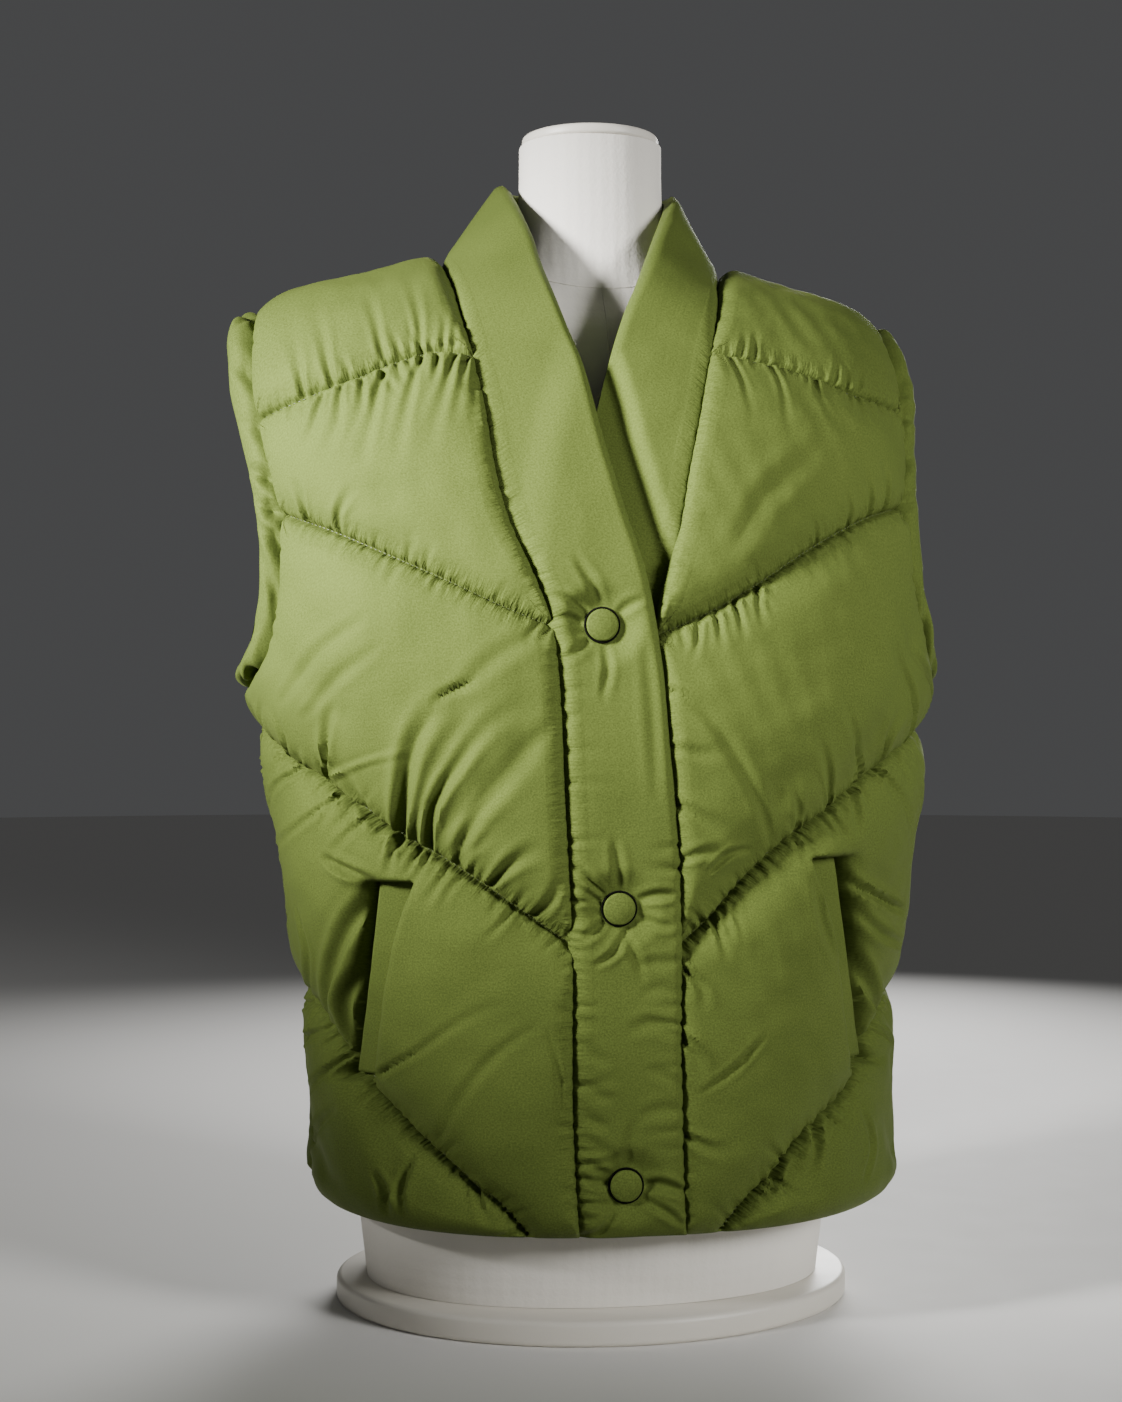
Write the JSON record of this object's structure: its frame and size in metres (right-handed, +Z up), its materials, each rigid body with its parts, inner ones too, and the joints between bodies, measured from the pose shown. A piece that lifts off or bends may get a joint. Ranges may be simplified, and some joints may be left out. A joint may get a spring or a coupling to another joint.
{
  "type": "puffer vest on a limbless dress form",
  "caption": "Wrap-front quilted puffer vest with a padded shawl band, covered snaps and slanted welt pockets, worn closed on a limbless dress form with a base board.",
  "frame": {"origin": "on the floor under the middle of the whole, at the underside of the form's base board", "axes": "+Z up, the front looks along -Y, the wearer's right side is at -X"},
  "size_m": [0.5207, 0.3405, 0.853],
  "materials": {
    "green_shell": "soft-sheen nylon taffeta over padding",
    "green_band": "soft-sheen nylon taffeta over padding",
    "green_trim": "soft-sheen nylon taffeta",
    "green_cap": "taffeta drawn over a snap cap",
    "canvas": "matt white canvas over the form's shell",
    "painted_wood": "satin paint"
  },
  "bodies": {
    "root": {"front_right": "green_shell", "front_left": "green_shell", "back": "green_shell", "collar_band_right": "green_band", "collar_band_left": "green_band", "arm_band_right": "green_trim", "arm_band_left": "green_trim", "pocket_welt_right": "green_trim", "pocket_welt_left": "green_trim", "snap_cap_1": "green_cap", "snap_cap_2": "green_cap", "snap_cap_3": "green_cap", "form_torso": "canvas", "form_neck_cap": "painted_wood", "form_base": "painted_wood"}
  },
  "joints": []
}
